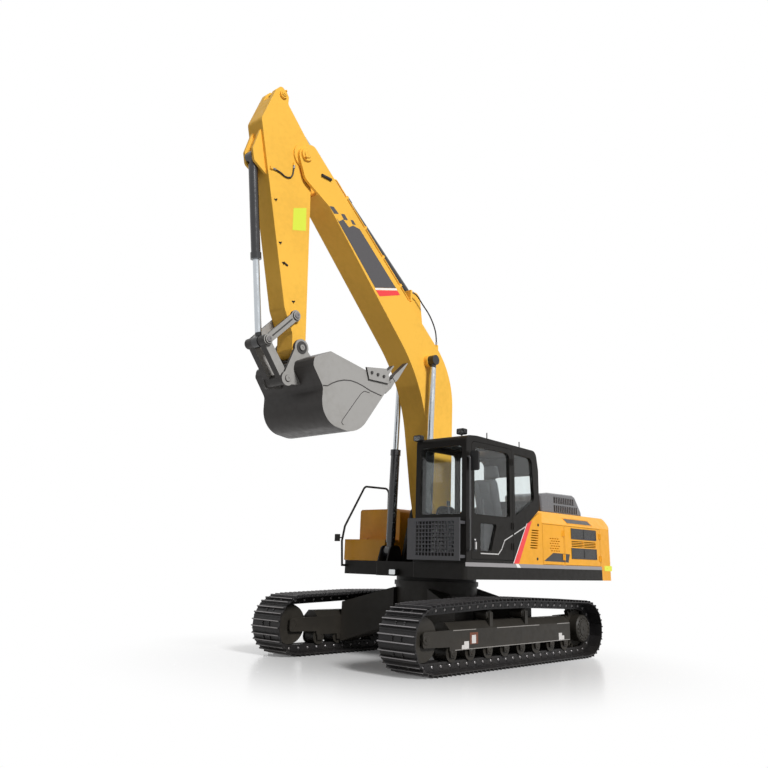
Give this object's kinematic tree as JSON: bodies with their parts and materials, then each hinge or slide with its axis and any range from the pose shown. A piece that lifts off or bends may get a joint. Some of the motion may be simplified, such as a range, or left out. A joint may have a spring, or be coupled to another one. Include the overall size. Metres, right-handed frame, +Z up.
{
  "type": "crawler excavator",
  "caption": "Tracked hydraulic excavator with a bent boom, arm, digging bucket, side cab and rear counterweight, in yellow and black.",
  "frame": {"origin": "ground level, on the centre plane, under the middle of the machine's length as it stands with its bucket raised", "axes": "+X forwards towards the bucket, +Y to the operator's left, where the cab is, +Z up"},
  "size_m": [7.4478, 3.1, 7.7821],
  "materials": {
    "machine_yellow": "satin enamel",
    "frame_black": "satin enamel",
    "undercarriage_black": "dull enamel",
    "track_steel": "dull black paint, worn at the edges",
    "cylinder_black": "gloss enamel",
    "chrome_rod": "polished",
    "bucket_grey": "matt enamel",
    "cab_glazing": "clear",
    "engine_iron": "painted",
    "seat_fabric": "woven",
    "cab_plastic": "grained",
    "lamp_housing": "moulded",
    "hose_rubber": "matt"
  },
  "bodies": {
    "undercarriage": {"car_body": "undercarriage_black", "swing_bearing": "undercarriage_black", "track_left": "track_steel", "idler_left": "undercarriage_black", "sprocket_left": "undercarriage_black", "track_rollers_left": "undercarriage_black", "track_frame_left": "undercarriage_black", "track_right": "track_steel", "idler_right": "undercarriage_black", "sprocket_right": "undercarriage_black", "track_rollers_right": "undercarriage_black", "track_frame_right": "undercarriage_black"},
    "house": {"main_frame": "frame_black", "counterweight": "machine_yellow", "engine_house": "machine_yellow", "left_corner_panel": "machine_yellow", "hydraulic_tank": "machine_yellow", "tool_box": "frame_black", "fuel_tank": "machine_yellow", "engine": "engine_iron", "radiator": "engine_iron", "pump": "engine_iron", "cab_shell": "frame_black", "cab_glass": "cab_glazing", "operator_seat": "seat_fabric", "cab_controls": "cab_plastic", "front_guard": "frame_black", "handrail": "frame_black", "grab_rail": "frame_black", "cab_mirror": "lamp_housing", "work_lamps": "lamp_housing"},
    "boom": {"boom": "machine_yellow", "boom_hose": "hose_rubber"},
    "arm": {"arm": "machine_yellow", "arm_hose": "hose_rubber"},
    "bucket": {"bucket": "bucket_grey", "bucket_teeth": "bucket_grey"},
    "boom_ram_barrels": {"boom_ram_barrels": "cylinder_black"},
    "boom_ram_rods": {"boom_ram_rods": "chrome_rod"},
    "arm_ram_barrel": {"arm_ram_barrel": "cylinder_black"},
    "arm_ram_rod": {"arm_ram_rod": "chrome_rod"},
    "bucket_ram_barrel": {"bucket_ram_barrel": "cylinder_black"},
    "bucket_ram_rod": {"bucket_ram_rod": "chrome_rod"},
    "idler_links": {"idler_links": "bucket_grey"},
    "bucket_link": {"bucket_link": "bucket_grey"},
    "cab_door": {"cab_door": "frame_black", "door_glass": "cab_glazing"},
    "left_front_door": {"left_front_door": "machine_yellow"},
    "left_rear_door": {"left_rear_door": "machine_yellow"},
    "right_rear_door": {"right_rear_door": "machine_yellow"},
    "engine_hood": {"engine_hood": "machine_yellow", "air_intake_cover": "frame_black"},
    "tool_box_lid": {"tool_box_lid": "frame_black"}
  },
  "joints": [
    {"name": "swing", "type": "hinge", "parent": "undercarriage", "child": "house", "pos_m": [-0.46387, 0, 1.11], "axis": [0, 0, 1], "continuous": true},
    {"name": "boom_lift", "type": "hinge", "parent": "house", "child": "boom", "pos_m": [-0.34387, 0, 2], "axis": [0, -1, 0], "range_deg": [-95, 6]},
    {"name": "arm_crowd", "type": "hinge", "parent": "boom", "child": "arm", "pos_m": [2.88113, 0, 6.86], "axis": [0, 1, 0], "range_deg": [-117, 3]},
    {"name": "bucket_curl", "type": "hinge", "parent": "arm", "child": "bucket", "pos_m": [2.69613, 0, 4.01], "axis": [0, 1, 0], "range_deg": [-110, 10]},
    {"name": "boom_ram_swing", "type": "hinge", "parent": "house", "child": "boom_ram_barrels", "pos_m": [0.21613, 0, 1.45], "axis": [0, -1, 0], "range_deg": [-96.56, 7.04]},
    {"name": "boom_ram_slide", "type": "slide", "parent": "boom_ram_barrels", "child": "boom_ram_rods", "axis": [-0.0378, 0, 0.9993], "range_m": [-1.1672, 0.0831]},
    {"name": "arm_ram_swing", "type": "hinge", "parent": "boom", "child": "arm_ram_barrel", "pos_m": [0.33613, 0, 5.4], "axis": [0, 1, 0], "range_deg": [-6.7, 1.15]},
    {"name": "arm_ram_slide", "type": "slide", "parent": "arm_ram_barrel", "child": "arm_ram_rod", "axis": [0.7974, 0, 0.6034], "range_m": [-1.5682, 0.05]},
    {"name": "bucket_ram_swing", "type": "hinge", "parent": "arm", "child": "bucket_ram_barrel", "pos_m": [3.63613, 0, 6.58], "axis": [0, 1, 0], "range_deg": [-1.6, 7.6]},
    {"name": "bucket_ram_slide", "type": "slide", "parent": "bucket_ram_barrel", "child": "bucket_ram_rod", "axis": [-0.1457, 0, -0.9893], "range_m": [-0.8958, 0.0905]},
    {"name": "idler_swing", "type": "hinge", "parent": "arm", "child": "idler_links", "pos_m": [2.82613, 0, 4.43], "axis": [0, 1, 0], "range_deg": [-99.12, 9.92]},
    {"name": "bucket_link_swing", "type": "hinge", "parent": "idler_links", "child": "bucket_link", "pos_m": [3.25613, 0, 4], "axis": [0, 1, 0], "range_deg": [-7.6, 73.61]},
    {"name": "cab_door_swing", "type": "hinge", "parent": "house", "child": "cab_door", "pos_m": [-0.52087, 1.397, 2.1], "axis": [0, 0, 1], "range_deg": [0, 160]},
    {"name": "left_front_door_swing", "type": "hinge", "parent": "house", "child": "left_front_door", "pos_m": [-1.92087, 1.397, 1.6], "axis": [0, 0, 1], "range_deg": [0, 110]},
    {"name": "left_rear_door_swing", "type": "hinge", "parent": "house", "child": "left_rear_door", "pos_m": [-3.08087, 1.397, 1.6], "axis": [0, 0, 1], "range_deg": [0, 110]},
    {"name": "right_rear_door_swing", "type": "hinge", "parent": "house", "child": "right_rear_door", "pos_m": [-3.08087, -1.397, 1.6], "axis": [0, 0, -1], "range_deg": [0, 110]},
    {"name": "engine_hood_lift", "type": "hinge", "parent": "house", "child": "engine_hood", "pos_m": [-2.26387, -0.557, 2.142], "axis": [1, 0, 0], "range_deg": [0, 65]},
    {"name": "tool_box_lid_lift", "type": "hinge", "parent": "house", "child": "tool_box_lid", "pos_m": [-0.12987, -0.9, 1.642], "axis": [0, -1, 0], "range_deg": [0, 80]}
  ],
  "couplings": [
    {"joint": "boom_ram_swing", "follows": "boom_lift", "ratio": 1.0059},
    {"joint": "boom_ram_slide", "follows": "boom_lift", "m_per_rad": 0.69792},
    {"joint": "arm_ram_swing", "follows": "arm_crowd", "ratio": 0.048696},
    {"joint": "arm_ram_slide", "follows": "arm_crowd", "m_per_rad": 0.76307},
    {"joint": "bucket_ram_swing", "follows": "bucket_curl", "ratio": -0.059997},
    {"joint": "bucket_ram_slide", "follows": "bucket_curl", "m_per_rad": 0.46137},
    {"joint": "idler_swing", "follows": "bucket_curl", "ratio": 0.89203},
    {"joint": "bucket_link_swing", "follows": "bucket_curl", "ratio": -0.66009}
  ]
}
